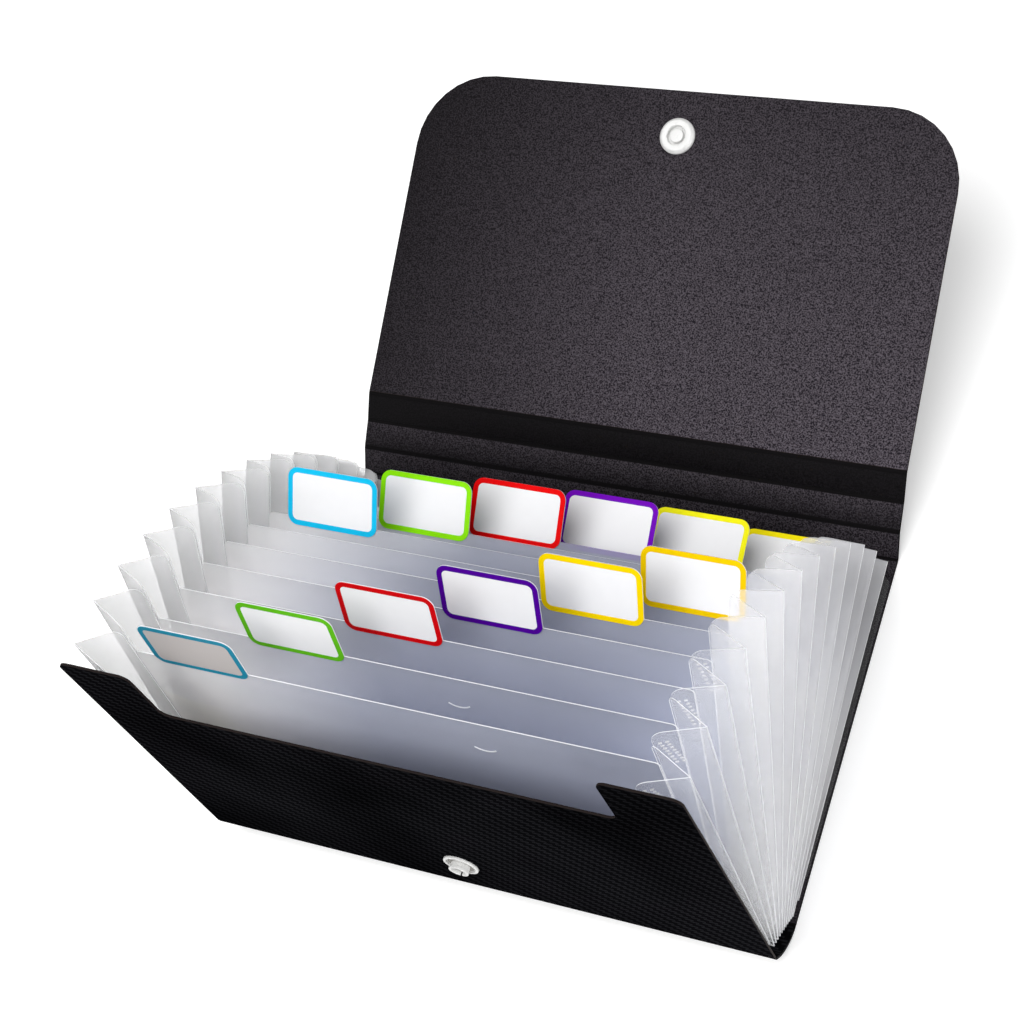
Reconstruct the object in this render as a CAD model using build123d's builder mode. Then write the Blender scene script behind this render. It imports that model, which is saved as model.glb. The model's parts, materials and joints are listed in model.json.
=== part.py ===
from build123d import *
from math import asin, cos, degrees, radians, sin
import os

# An accordion file folder in millimetres, lying open on its back panel.
# X runs across the width, Y from the bottom spine to the flap, Z up from the table.
# The origin is the middle of the back panel's outer face.

# Cover sheet
width = 180.0
sheet = 0.8
back_height = 112.3
front_height = 107.0
ear_width = 24.7
ear_corner = 3.0
cutout_depth = 22.5
cutout_corner = 3.0
spine_width = 15.2
spine_bulge = 2.0
strip_width = 8.8
flap_corner = 24.0
crease_gap = 0.1

# Angles of the open folder, in degrees up from the back panel
spine_angle = 141.5
front_angle = 85.0
strip_angles = (43.0, 27.6, 36.0)
flap_angle = 18.8

# Angles of the shut folder, which decide how far the flap reaches
front_angle_shut = 3.0
strip_angles_shut = (70.0, 95.0, 125.0)

# Dividers and their labels
divider_count = 12
divider_sheet = 0.3
divider_bead = 0.4
bead_clearance = 0.05
pivot_rise = 1.3
bottom_margin = 0.6
tab_count = 6
tab_margin_left = 6.6
tab_margin_right = 0.4
tab_slack = 1.2
tab_rise = 14.8
label_width = 29.6
label_height = 17.3
label_corner = 4.0
label_sheet = 0.2

# Pleated sides
pleat_depth = 13.0
pleat_sheet = 0.2
pleat_start = 12.0
pleat_slack = 4.5
pleat_drop = 2.0
pleat_corner = 3.0
pleat_clearance = 0.12
fold_edge = 0.5
flange_sheet = 0.25
flange_corner = 3.0

# Press snap
stud_height = 17.6
snap_from_edge = 14.6
snap_cap_radius = 6.0
snap_cap_height = 0.9
front_cap_height = 0.45
snap_hole_radius = 1.7
snap_post_clearance = 0.1
socket_radius = 5.7
socket_height = 2.0
socket_bore = 3.0
socket_floor = 0.5
stud_flange_radius = 5.3
stud_flange_height = 0.8
stud_neck_radius = 2.1
stud_head_radius = 2.5
stud_head_height = 1.3
stud_slot = 0.7
snap_play = 0.2


def direction(angle):
    """Unit vector turned up from the back panel by an angle in degrees."""
    return Vector(0, cos(radians(angle)), sin(radians(angle)))


def leaf_plane(origin, angle):
    """Middle plane of a sheet: its x runs across the folder, its y away from the crease."""
    return Plane(origin, x_dir=(1, 0, 0), z_dir=direction(angle + 90))


def across(point):
    """Place of a round edge that runs across the folder through a point."""
    return Location(point, (0, 90, 0))


def snap_plane(origin, outward):
    """Plane of a snap's half profile: its x is the radius and its y the snap's own axis."""
    return Plane(origin, x_dir=(1, 0, 0), z_dir=Vector(1, 0, 0).cross(outward))


# Creases, which are the axes of the living hinges
bottom_crease = Vector(0, -back_height / 2, sheet / 2)
top_crease = Vector(0, back_height / 2, sheet / 2)
front_crease = bottom_crease + direction(spine_angle) * spine_width
strip_creases = [top_crease]
for angle in strip_angles:
    strip_creases.append(strip_creases[-1] + direction(angle) * strip_width)
flap_crease = strip_creases[-1]
sheet_start = sheet / 2 + crease_gap
front_plane = leaf_plane(front_crease, front_angle)
flap_plane = leaf_plane(flap_crease, flap_angle)

# The flap's length, which brings its socket onto the stud when the folder is shut
snap_stack = sheet + stud_flange_height + snap_play + socket_height
shut_flap_crease = top_crease
for angle in strip_angles_shut:
    shut_flap_crease = shut_flap_crease + direction(angle) * strip_width
shut_front_crease = bottom_crease + direction(90) * spine_width
shut_front_plane = leaf_plane(shut_front_crease, front_angle_shut)
shut_socket = shut_front_plane.from_local_coords(Vector(0, stud_height, snap_stack))
snap_reach = (shut_socket - shut_flap_crease).length
flap_length = snap_reach + snap_from_edge

# The fan: the middle planes of the front panel, the dividers and the back panel, in that order
pocket_count = divider_count + 1
spine_inward = direction(spine_angle - 90)
pivot_step = direction(spine_angle) * (-spine_width / pocket_count)


def fan_angle(number):
    """Angle of a sheet of the fan, where 0 is the front panel and pocket_count the back panel."""
    return front_angle * (pocket_count - number) / pocket_count


def fan_plane(number):
    """Middle plane of a sheet of the fan, with its origin on its pivot line above the spine."""
    pivot = front_crease + pivot_step * number + spine_inward * pivot_rise
    return leaf_plane(pivot, fan_angle(number))


parts = {}

# Back panel, with a round edge on each crease
with BuildPart() as back_panel:
    with BuildSketch(Plane.XY.offset(sheet / 2)):
        Rectangle(width, back_height)
    extrude(amount=sheet / 2, both=True)
    with Locations(across(bottom_crease), across(top_crease)):
        Cylinder(sheet / 2, width)
parts["back_panel"] = back_panel.part

# Bottom spine, a bowed strip whose ends stop short of both creases
spine_radius = (spine_width**2 / 4 + spine_bulge**2) / (2 * spine_bulge)
spine_centre = (bottom_crease + front_crease) / 2 + spine_inward * (spine_radius - spine_bulge)
spine_mid_angle = spine_angle + 90
spine_half_angle = degrees(asin(spine_width / 2 / spine_radius) - sheet_start / spine_radius)
arc_centre = (spine_centre.Y, spine_centre.Z)
with BuildPart() as bottom_spine:
    with BuildSketch(Plane.YZ):
        with BuildLine():
            start = spine_mid_angle - spine_half_angle
            outer = CenterArc(arc_centre, spine_radius + sheet / 2, start, 2 * spine_half_angle)
            inner = CenterArc(arc_centre, spine_radius - sheet / 2, start, 2 * spine_half_angle)
            Line(outer @ 0, inner @ 0)
            Line(outer @ 1, inner @ 1)
        make_face()
    extrude(amount=width / 2, both=True)
parts["bottom_spine"] = bottom_spine.part

# Front panel, with its ears, the thumb cut-out and the snap's hole
cutout_width = width - 2 * ear_width
with BuildPart() as front_panel:
    with BuildSketch(front_plane) as outline:
        with Locations((0, front_height / 2)):
            Rectangle(width, front_height)
        fillet(outline.vertices().group_by(Axis.Y)[-1], ear_corner)
        with Locations((0, front_height)):
            Rectangle(cutout_width, 2 * cutout_depth, mode=Mode.SUBTRACT)
        reach = cutout_width / 2 + crease_gap
        fillet(outline.vertices().filter_by_position(Axis.X, -reach, reach), cutout_corner)
        with Locations((0, stud_height)):
            Circle(snap_hole_radius, mode=Mode.SUBTRACT)
    extrude(amount=sheet / 2, both=True)
    with Locations(across(front_crease)):
        Cylinder(sheet / 2, width)
parts["front_panel"] = front_panel.part

# Top spine strips, each with a round edge on its far crease
strip_names = ("top_strip_back", "top_strip_middle", "top_strip_front")
for name, angle, near, far in zip(strip_names, strip_angles, strip_creases, strip_creases[1:]):
    with BuildPart() as strip:
        with BuildSketch(leaf_plane(near, angle)):
            with Locations((0, (sheet_start + strip_width) / 2)):
                Rectangle(width, strip_width - sheet_start)
        extrude(amount=sheet / 2, both=True)
        with Locations(across(far)):
            Cylinder(sheet / 2, width)
    parts[name] = strip.part

# Flap, with its round corners and the snap's hole
with BuildPart() as flap:
    with BuildSketch(flap_plane) as outline:
        with Locations((0, (sheet_start + flap_length) / 2)):
            Rectangle(width, flap_length - sheet_start)
        fillet(outline.vertices().group_by(Axis.Y)[-1], flap_corner)
        with Locations((0, snap_reach)):
            Circle(snap_hole_radius, mode=Mode.SUBTRACT)
    extrude(amount=sheet / 2, both=True)
parts["flap"] = flap.part

# Bottom of the pocket insert, seated on the spine, with a groove for each divider's bead
floor_radius = spine_radius - sheet / 2
floor_half_angle = degrees(asin((spine_width / 2 - bottom_margin) / floor_radius))
grooves = [fan_plane(number).origin for number in range(1, pocket_count)]
with BuildPart() as insert_bottom:
    with BuildSketch(Plane.YZ):
        with BuildLine():
            start = spine_mid_angle - floor_half_angle
            seat = CenterArc(arc_centre, floor_radius, start, 2 * floor_half_angle)
            low = bottom_crease + direction(spine_angle) * bottom_margin + spine_inward * pivot_rise
            high = front_crease - direction(spine_angle) * bottom_margin + spine_inward * pivot_rise
            Polyline(seat @ 0, (high.Y, high.Z), (low.Y, low.Z), seat @ 1)
        make_face()
        with Locations(*[(groove.Y, groove.Z) for groove in grooves]):
            Circle(divider_bead + bead_clearance, mode=Mode.SUBTRACT)
    extrude(amount=width / 2 - pleat_depth, both=True)
parts["insert_bottom"] = insert_bottom.part

# Dividers with their tabs, and the labels on the front of the tabs
divider_width = width - 2 * pleat_depth
tab_top = back_height - pivot_rise - tab_slack
divider_height = tab_top - tab_rise
label_middle = tab_top - label_height / 2
tab_first = (label_width - divider_width) / 2 + tab_margin_left
tab_last = (divider_width - label_width) / 2 - tab_margin_right
tab_pitch = (tab_last - tab_first) / (tab_count - 1)
for number in range(1, pocket_count):
    plane = fan_plane(number)
    tab_x = tab_first + tab_pitch * ((number - 1) % tab_count)
    with BuildPart() as divider:
        with BuildSketch(plane):
            with Locations((0, divider_height / 2)):
                Rectangle(divider_width, divider_height)
            with Locations((tab_x, label_middle)):
                RectangleRounded(label_width, label_height, label_corner)
        extrude(amount=divider_sheet / 2, both=True)
        with Locations(across(plane.origin)):
            Cylinder(divider_bead, divider_width)
    parts[f"divider_{number:02d}"] = divider.part
    with BuildPart() as label:
        with BuildSketch(plane.offset(divider_sheet / 2)):
            with Locations((tab_x, label_middle)):
                RectangleRounded(label_width, label_height, label_corner)
        extrude(amount=label_sheet)
    parts[f"label_{number:02d}"] = label.part

# Flanges that hold the first and last pleats to the two panels
pleat_height = back_height - pivot_rise - pleat_slack
flange_height = pleat_height - pleat_start
flange_x = (width - pleat_depth) / 2
flange_y = (pleat_start + pleat_height) / 2
for name, plane in (
    ("front_flanges", front_plane.offset(-sheet / 2 - flange_sheet)),
    ("back_flanges", leaf_plane(bottom_crease, 0).offset(sheet / 2)),
):
    with BuildPart() as flanges:
        with BuildSketch(plane):
            with Locations((-flange_x, flange_y), (flange_x, flange_y)):
                RectangleRounded(pleat_depth - 2 * fold_edge, flange_height, flange_corner)
        extrude(amount=flange_sheet)
    parts[name] = flanges.part


def fold_gap(middle, number, height):
    """Distance from a pleat's middle plane to a sheet of the fan, at a height up the pleat."""
    sheet_plane = fan_plane(number)
    low = middle.to_local_coords(sheet_plane.origin)
    high = middle.to_local_coords(sheet_plane.origin + sheet_plane.y_dir)
    slope = (high.Z - low.Z) / (high.Y - low.Y)
    return abs(low.Z + (height - low.Y) * slope)


# Pleats: a thin V on each side of every pocket, narrow at the spine and wide at the mouth
fold_in = width / 2 - pleat_depth + pleat_clearance
fold_out = width / 2 - fold_edge
panel_clearance = sheet / 2 + flange_sheet + pleat_clearance
divider_clearance = divider_sheet / 2 + pleat_clearance
for pocket in range(1, pocket_count + 1):
    middle = fan_plane(pocket - 0.5)
    front_clearance = panel_clearance if pocket == 1 else divider_clearance
    back_clearance = panel_clearance if pocket == pocket_count else divider_clearance
    with BuildPart() as pleat:
        for height in (pleat_start, pleat_height):
            front = fold_gap(middle, pocket - 1, height) - front_clearance
            back = fold_gap(middle, pocket, height) - back_clearance
            origin = middle.from_local_coords(Vector(0, height, 0))
            with BuildSketch(Plane(origin, x_dir=(1, 0, 0), z_dir=middle.y_dir)):
                with BuildLine():
                    Polyline(
                        (fold_in, -front),
                        (fold_out, 0),
                        (fold_in, back),
                        (fold_in, back - pleat_sheet),
                        (fold_out - 2 * pleat_sheet, 0),
                        (fold_in, pleat_sheet - front),
                        close=True,
                    )
                make_face()
        loft(ruled=True)
        with BuildSketch(middle) as outline:
            with BuildLine():
                Polyline(
                    (fold_in, 0),
                    (fold_out, 0),
                    (fold_out, pleat_height - pleat_drop),
                    (fold_in, pleat_height),
                    close=True,
                )
            make_face()
            fillet(outline.vertices().sort_by(Axis.Y)[-1], pleat_corner)
        extrude(amount=pleat_height, both=True, mode=Mode.INTERSECT)
        mirror(about=Plane.YZ)
    parts[f"pleat_{pocket:02d}"] = pleat.part

# Snap: each half is a cap whose post goes through the sheet into the half on the other face
post_radius = snap_hole_radius - snap_post_clearance
for name, leaf, place, crown, grip in (
    ("flap_snap_cap", flap_plane, snap_reach, snap_cap_height, socket_floor),
    ("front_snap_cap", front_plane, stud_height, front_cap_height, stud_flange_height),
):
    outward = -leaf.z_dir
    seat = leaf.from_local_coords(Vector(0, place, -sheet / 2))
    dome_radius = snap_cap_radius**2 / crown + crown / 4
    dome_angle = degrees(asin(snap_cap_radius / dome_radius))
    with BuildPart() as cap:
        with BuildSketch(snap_plane(seat, outward)):
            with BuildLine():
                dome = CenterArc((0, crown - dome_radius), dome_radius, 90 - dome_angle, dome_angle)
                Polyline(
                    dome @ 1,
                    (0, -sheet - grip),
                    (post_radius, -sheet - grip),
                    (post_radius, 0),
                    (snap_cap_radius, 0),
                    dome @ 0,
                )
            make_face()
        revolve(axis=Axis(seat, outward))
    parts[name] = cap.part

socket_seat = flap_plane.from_local_coords(Vector(0, snap_reach, sheet / 2))
with BuildPart() as socket:
    with BuildSketch(snap_plane(socket_seat, flap_plane.z_dir)):
        with BuildLine():
            Polyline(
                (snap_hole_radius, 0),
                (socket_radius, 0),
                (socket_radius, socket_height / 2),
                (socket_radius - socket_height / 2, socket_height),
                (socket_bore, socket_height),
                (socket_bore, socket_floor),
                (snap_hole_radius, socket_floor),
                close=True,
            )
        make_face()
    revolve(axis=Axis(socket_seat, flap_plane.z_dir))
parts["flap_snap_socket"] = socket.part

stud_seat = front_plane.from_local_coords(Vector(0, stud_height, sheet / 2))
stud_top = stud_flange_height + stud_head_height
with BuildPart() as stud:
    with BuildSketch(snap_plane(stud_seat, front_plane.z_dir)):
        with BuildLine():
            Polyline(
                (snap_hole_radius, 0),
                (stud_flange_radius, 0),
                (stud_flange_radius, stud_flange_height / 2),
                (stud_neck_radius, stud_flange_height),
                (stud_head_radius, stud_flange_height + stud_head_height / 2),
                (stud_neck_radius, stud_top),
                (0, stud_top),
                (0, stud_flange_height),
                (snap_hole_radius, stud_flange_height),
                close=True,
            )
        make_face()
    revolve(axis=Axis(stud_seat, front_plane.z_dir))
    with BuildSketch(front_plane.offset(sheet / 2 + stud_top)):
        with Locations((0, stud_height)):
            Rectangle(2 * stud_head_radius, stud_slot)
    extrude(amount=-stud_head_height / 2, mode=Mode.SUBTRACT)
parts["front_snap_stud"] = stud.part

os.makedirs("parts", exist_ok=True)
for name, piece in parts.items():
    piece.label = name
    export_step(piece, f"parts/{name}.step")
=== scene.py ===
import json
from math import asin, atan2, cos, pi, radians, sin

import bmesh
import bpy
from bpy.props import FloatProperty, FloatVectorProperty, IntProperty, PointerProperty
from bpy.types import Operator, Panel, PropertyGroup
from mathutils import Matrix, Vector


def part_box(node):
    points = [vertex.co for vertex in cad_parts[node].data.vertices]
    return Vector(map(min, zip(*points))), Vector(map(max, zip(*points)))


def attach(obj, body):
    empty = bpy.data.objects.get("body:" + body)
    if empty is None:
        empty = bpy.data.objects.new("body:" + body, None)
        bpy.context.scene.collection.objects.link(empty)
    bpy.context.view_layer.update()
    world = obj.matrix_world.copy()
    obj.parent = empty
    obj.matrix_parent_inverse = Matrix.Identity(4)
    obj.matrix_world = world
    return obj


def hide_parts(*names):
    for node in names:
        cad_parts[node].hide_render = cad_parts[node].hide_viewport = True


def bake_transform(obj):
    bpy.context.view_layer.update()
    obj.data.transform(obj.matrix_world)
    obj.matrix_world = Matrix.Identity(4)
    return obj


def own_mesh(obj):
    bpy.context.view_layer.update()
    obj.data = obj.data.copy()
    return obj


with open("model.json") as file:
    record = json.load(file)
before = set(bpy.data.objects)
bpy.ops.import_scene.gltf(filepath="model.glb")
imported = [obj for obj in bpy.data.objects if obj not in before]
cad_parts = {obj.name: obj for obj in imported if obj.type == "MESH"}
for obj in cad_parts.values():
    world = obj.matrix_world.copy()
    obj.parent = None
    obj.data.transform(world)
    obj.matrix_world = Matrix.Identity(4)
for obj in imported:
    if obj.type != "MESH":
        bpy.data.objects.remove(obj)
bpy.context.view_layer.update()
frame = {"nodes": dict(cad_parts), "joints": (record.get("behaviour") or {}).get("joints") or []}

bl_info = {
    "name": "Accordion File Folder",
    "version": (1, 0, 0),
    "blender": (4, 5, 0),
    "location": "3D View > Sidebar > Folder",
    "description": "Builds the cover, the fan of pockets, the labels and the snap of a file folder",
    "category": "Object",
}

MM = 0.001
TINY = 0.001 * MM

# How squarely a face looks along an axis to count as flat or level, and the turns of sharp and rounded edges
FLAT = 0.9
LEVEL = 0.99
SHARP = radians(40)
CORNER = radians(30)

# Material slots of a panel, of the film, of a label and of the stud
INSIDE, OUTSIDE, RIM, SCORE = range(4)
EDGE, FACE, RIGHT, WELD = range(4)
MIDDLE, BORDER = range(2)
# The stud's second slot is a darker material, painted shade in its recesses
PLASTIC, SHADED_RECESS = range(2)

# Places that the frame gives: the creases, the sheet and the fan's pivot lines
JOINTS = {joint["name"]: joint for joint in frame["joints"]}
BACK_LOW, BACK_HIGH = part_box("back_panel")
WIDTH = BACK_HIGH.x - BACK_LOW.x
SHEET = BACK_HIGH.z - BACK_LOW.z
POCKETS = len([name for name in frame["nodes"] if name.startswith("pleat_")])
STRIPS = ("strip_back", "strip_middle", "strip_front")


def crease(joint):
    """Point of a joint's axis in the middle of the folder."""
    return Vector(JOINTS[joint]["pos_m"])


BOTTOM_CREASE = crease("fan")
FRONT_CREASE = crease("front_fold")
FLAP_CREASE = crease("flap_hinge")
STRIP_CREASES = [*(crease(f"{strip}_fold") for strip in STRIPS), FLAP_CREASE]
SPINE = FRONT_CREASE - BOTTOM_CREASE
SPINE_ANGLE = atan2(SPINE.z, SPINE.y)
FIRST_PIVOT = crease("divider_01_fold")
PIVOT_STEP = crease("divider_02_fold") - FIRST_PIVOT

# Where the camera stands, in millimetres, and how it is turned
CAMERA_PLACE = Vector((267.67, -184.24, 601.03))
CAMERA_RIGHT = Vector((0.89268, 0.30835, -0.32870))
CAMERA_UP = Vector((-0.15150, 0.89219, 0.42549))
CAMERA_LENS = 79.49

# Places and sizes of the lamps in metres, half the floor's width, and how far it lies below the folder
KEY_PLACE, KEY_SIZE = (-0.1, -0.06, 1.3), 1.2
RIGHT_PLACE, RIGHT_SIZE = (0.95, -0.35, 0.25), 0.8
LEFT_PLACE, LEFT_SIZE = (-0.55, -0.7, 1.0), 0.8
FLOOR_HALF = 4.0
FLOOR_DROP = 0.02 * MM

# Sheets of film that the camera can look through
FILM_LAYERS = 64

# Values between which a noise texture mostly lies
NOISE_LOW, NOISE_HIGH = 0.3, 0.7

# Painted shade on the inner grain, as light falls on each panel: its brightness at the near crease, at the
# far one and at the left side
BACK_PAINTED_SHADE = (0.4, 0.5, 1.0)
STRIP_PAINTED_SHADES = ((0.35, 0.45, 0.8), (0.15, 0.55, 0.8), (0.07, 0.06, 0.8))
FLAP_PAINTED_SHADE = (1.0, 0.55, 0.28)

# Brightest colour of the film's painted light, above white because it stands in for light that the film
# passes on from behind
FILM_LIMIT = (1.4, 1.37, 1.33)

# Lowest points of the curved marks on the first dividers, in millimetres, and their radius over their width
MARKS = {1: (26.0, 82.0, 0.0), 2: (14.0, 83.4, 0.0)}
MARK_BEND = 0.8


def ink(red, green, blue):
    """Linear colour of a display colour given from 0 to 255."""
    values = (red / 255, green / 255, blue / 255)
    return tuple(v / 12.92 if v < 0.04045 else ((v + 0.055) / 1.055) ** 2.4 for v in values)


def length(name, default, description):
    """A length property, in metres, with its default in millimetres."""
    return FloatProperty(name=name, description=description, default=default * MM, unit="LENGTH", min=0)


def count(name, default, description, least=1):
    """A whole number property."""
    return IntProperty(name=name, description=description, default=default, min=least)


def factor(name, default, description):
    """A property for a share, up to twice the whole."""
    return FloatProperty(name=name, description=description, default=default, subtype="FACTOR", min=0, max=2)


def turn(name, default, description):
    """An angle property, with its default in degrees."""
    return FloatProperty(name=name, description=description, default=radians(default), subtype="ANGLE")


def power(name, default, description):
    """A light's power."""
    return FloatProperty(name=name, description=description, default=default, unit="POWER", min=0)


def tint(name, colour, description):
    """A colour property."""
    return FloatVectorProperty(name=name, description=description, default=colour, size=3, subtype="COLOR",
                               min=0, max=1)


class FolderCover(PropertyGroup):
    """Sizes and colours of the cover sheet."""
    front_angle: turn("Front angle", 85.0, "How far the front panel stands open")
    flap_angle: turn("Flap angle", 18.8, "How far the flap is raised from the table")
    front_height: length("Front height", 107.0, "Height of the front panel's ears above its crease")
    ear_width: length("Ear width", 22.6, "Width of the two ears beside the thumb cut-out")
    ear_corner: length("Ear corner", 3.0, "Radius of the ears' corners and of the cut-out's")
    cutout_depth: length("Cut-out depth", 22.5, "Depth of the thumb cut-out")
    flap_corner: length("Flap corner", 24.0, "Radius of the flap's corners")
    spine_bulge: length("Spine bulge", 2.0, "How far the bottom spine bows out")
    crease_half: length("Crease half width", 0.5, "Half the width of the scored line at a crease")
    crease_sheet: length("Crease sheet", 0.4, "Thickness left at a scored crease")
    edge: length("Edge", 0.18, "Rounding of the sheet's cut edges")
    weld_pitch: length("Weld pitch", 7.3, "Distance between the weld dots along the back panel's sides")
    weld_inset: length("Weld inset", 2.3, "Distance of the weld dots from the back panel's sides")
    weld_radius: length("Weld radius", 0.7, "Radius of a weld dot")
    twill_pitch: length("Twill pitch", 1.28, "Width of one thread of the twill emboss")
    twill_dark: tint("Twill hollow", ink(9, 9, 11), "Colour in the hollows of the outer emboss")
    # Painted highlight on the twill's threads, standing in for their reflection
    twill_painted_highlight: tint("Twill thread", ink(31, 31, 34), "Colour on the threads of the outer emboss")
    grain_dark: tint("Grain hollow", ink(24, 20, 26), "Colour in the hollows of the inner sand grain")
    grain_pale: tint("Grain peak", ink(88, 82, 89), "Colour on the peaks of the inner sand grain")
    score_colour: tint("Score colour", ink(15, 14, 15), "Colour of the scored creases")
    edge_colour: tint("Edge colour", ink(30, 24, 23), "Colour of the sheet's cut edges")


class FolderInsert(PropertyGroup):
    """Sizes and colours of the frosted pockets."""
    divider_sheet: length("Divider sheet", 0.3, "Thickness of a divider")
    divider_bead: length("Divider bead", 0.4, "Radius of the bead along a divider's foot")
    divider_height: length("Divider height", 95.0, "Height of a divider beside its tab")
    divider_corner: length("Divider corner", 1.5, "Radius of a divider's upper corners")
    pleat_depth: length("Pleat depth", 13.0, "Depth of the pleated sides")
    pleat_sheet: length("Pleat sheet", 0.2, "Thickness of the pleated film")
    pleat_start: length("Pleat start", 2.5, "Height of the pleats' lower ends above the pivot lines")
    pleat_height: length("Pleat height", 108.2, "Height of the inner folds above the pivot lines")
    first_height: length("First height", 106.0, "Height of the inner folds of the first pocket")
    pleat_drop: length("Pleat drop", 2.0, "How much lower the outer folds end")
    pleat_corner: length("Pleat corner", 3.5, "Radius of the inner folds' upper corners")
    panel_start: length("Panel start", 6.5, "Height of the lower ends of the pleats beside the cover")
    panel_gap: length("Panel gap", 0.25, "Thickness of the flanges between the pleats and the cover")
    fold_edge: length("Fold edge", 0.5, "How far the outer folds stay inside the cover's sides")
    shut_depth: factor("Shut depth", 0.085, "Share of a pleat's depth that is left when the folder is shut")
    fold_round: length("Fold rounding", 0.2, "Rounding of the outer folds")
    weld_rows: count("Weld rows", 8, "Weld marks in a column beside an inner fold")
    weld_pitch: length("Weld pitch", 1.35, "Distance between two weld marks")
    weld_length: length("Weld length", 0.9, "Length of a weld mark")
    weld_width: length("Weld width", 0.32, "Width of a weld mark")
    # Painted light: the dividers are paler beside the left pleats, where light comes in through them
    film_pale: tint("Film near the fold", (0.88, 0.87, 0.87), "Colour of the dividers beside the left pleats")
    film_deep: tint("Film", (0.41, 0.43, 0.51), "Colour of the dividers' middle and right")
    film_alpha: factor("Film opacity", 0.45, "Opacity of one face of a divider")
    film_spread: length("Film spread", 0.4, "How far light spreads inside the pleated film")
    # Painted light that makes the dividers paler towards their feet, where little light reaches them
    foot_painted_light: factor("Foot lift", 1.75, "How much paler the dividers are towards their feet")
    foot_start: length("Foot start", 72.0, "Height below which the dividers are palest")
    mark_width: length("Mark width", 6.0, "Width of the curved marks on the first two dividers")
    mark_line: length("Mark line", 0.35, "Width of the line of a curved mark")
    left_film: tint("Left pleat film", (0.48, 0.48, 0.48), "Colour of the left pleats at their outer folds")
    # Painted light: the left pleats grow paler towards their inner folds, deep in each V where less light
    # reaches
    left_inner_painted_light: tint("Left pleat fold", (0.80, 0.80, 0.81), "Colour of the left pleats at their inner folds")
    left_alpha: factor("Left pleat opacity", 0.33, "Opacity of one face of a left pleat")
    right_film: tint("Right pleat film", (0.92, 0.93, 0.96), "Colour of the right pleats at the front")
    right_alpha: factor("Right pleat opacity", 0.08, "Opacity of one face of a right pleat at the front")
    # Painted shade: the right pleats at the back get a darker copy of the right pleats' film
    rear_film: tint("Rear pleat film", (0.64, 0.64, 0.66), "Colour of the right pleats at the back")
    rear_alpha: factor("Rear pleat opacity", 0.18, "Opacity of one face of a right pleat at the back")
    # Painted light that eases the rear pleats' painted shade towards the spine
    rear_lift: factor("Rear lift", 1.41, "How much paler the right pleats at the back are nearer the spine")
    rear_fade: length("Rear fade", 36.0, "Distance behind the folder's middle at which that ends")
    rear_start: count("Rear start", 5, "First pocket with the milkier right pleats")
    last_alpha: factor("Last pleat opacity", 0.36, "Opacity of one face of the last right pleats")
    last_start: count("Last start", 10, "First pocket with the milkiest right pleats")
    # Painted highlight along the film's cut edges and folds, where light runs along the film; the weld marks
    # take the same colour
    film_edge: tint("Film edge", (0.94, 0.95, 0.97), "Colour of the film's cut edges and folds")
    weld_alpha: factor("Weld opacity", 0.4, "Opacity of one face of a weld mark")
    edge_alpha: factor("Edge opacity", 0.75, "Opacity of the film's cut edges and folds")


class FolderLabels(PropertyGroup):
    """Sizes and colours of the labels."""
    border: length("Border", 1.5, "Width of the coloured border")
    recess: length("Recess", 0.05, "How far the white middle lies below its border")
    corner: length("Corner", 3.2, "Radius of a label's corners")
    card: length("Card", 0.2, "Thickness of a label")
    white: tint("White", (0.87, 0.87, 0.88), "Colour of a label's middle")
    # Painted shade: the first label's middle is a greyed copy of the white, as it leans into the shade
    first_white_painted_shade: tint("First white", (0.47, 0.44, 0.43), "Colour of the first label's middle")
    front_1: tint("Front 1", ink(28, 128, 155), "Border of the first label")
    front_2: tint("Front 2", ink(95, 185, 22), "Border of the second label")
    front_3: tint("Front 3", ink(205, 3, 10), "Border of the third label")
    front_4: tint("Front 4", ink(75, 0, 145), "Border of the fourth label")
    front_5: tint("Front 5", ink(250, 215, 0), "Border of the fifth label")
    front_6: tint("Front 6", ink(240, 200, 0), "Border of the sixth label")
    back_1: tint("Back 1", ink(20, 190, 235), "Border of the seventh label")
    back_2: tint("Back 2", ink(140, 230, 12), "Border of the eighth label")
    back_3: tint("Back 3", ink(232, 2, 5), "Border of the ninth label")
    back_4: tint("Back 4", ink(112, 0, 182), "Border of the tenth label")
    back_5: tint("Back 5", ink(250, 245, 20), "Border of the eleventh label")
    back_6: tint("Back 6", ink(250, 232, 0), "Border of the twelfth label")


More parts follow.
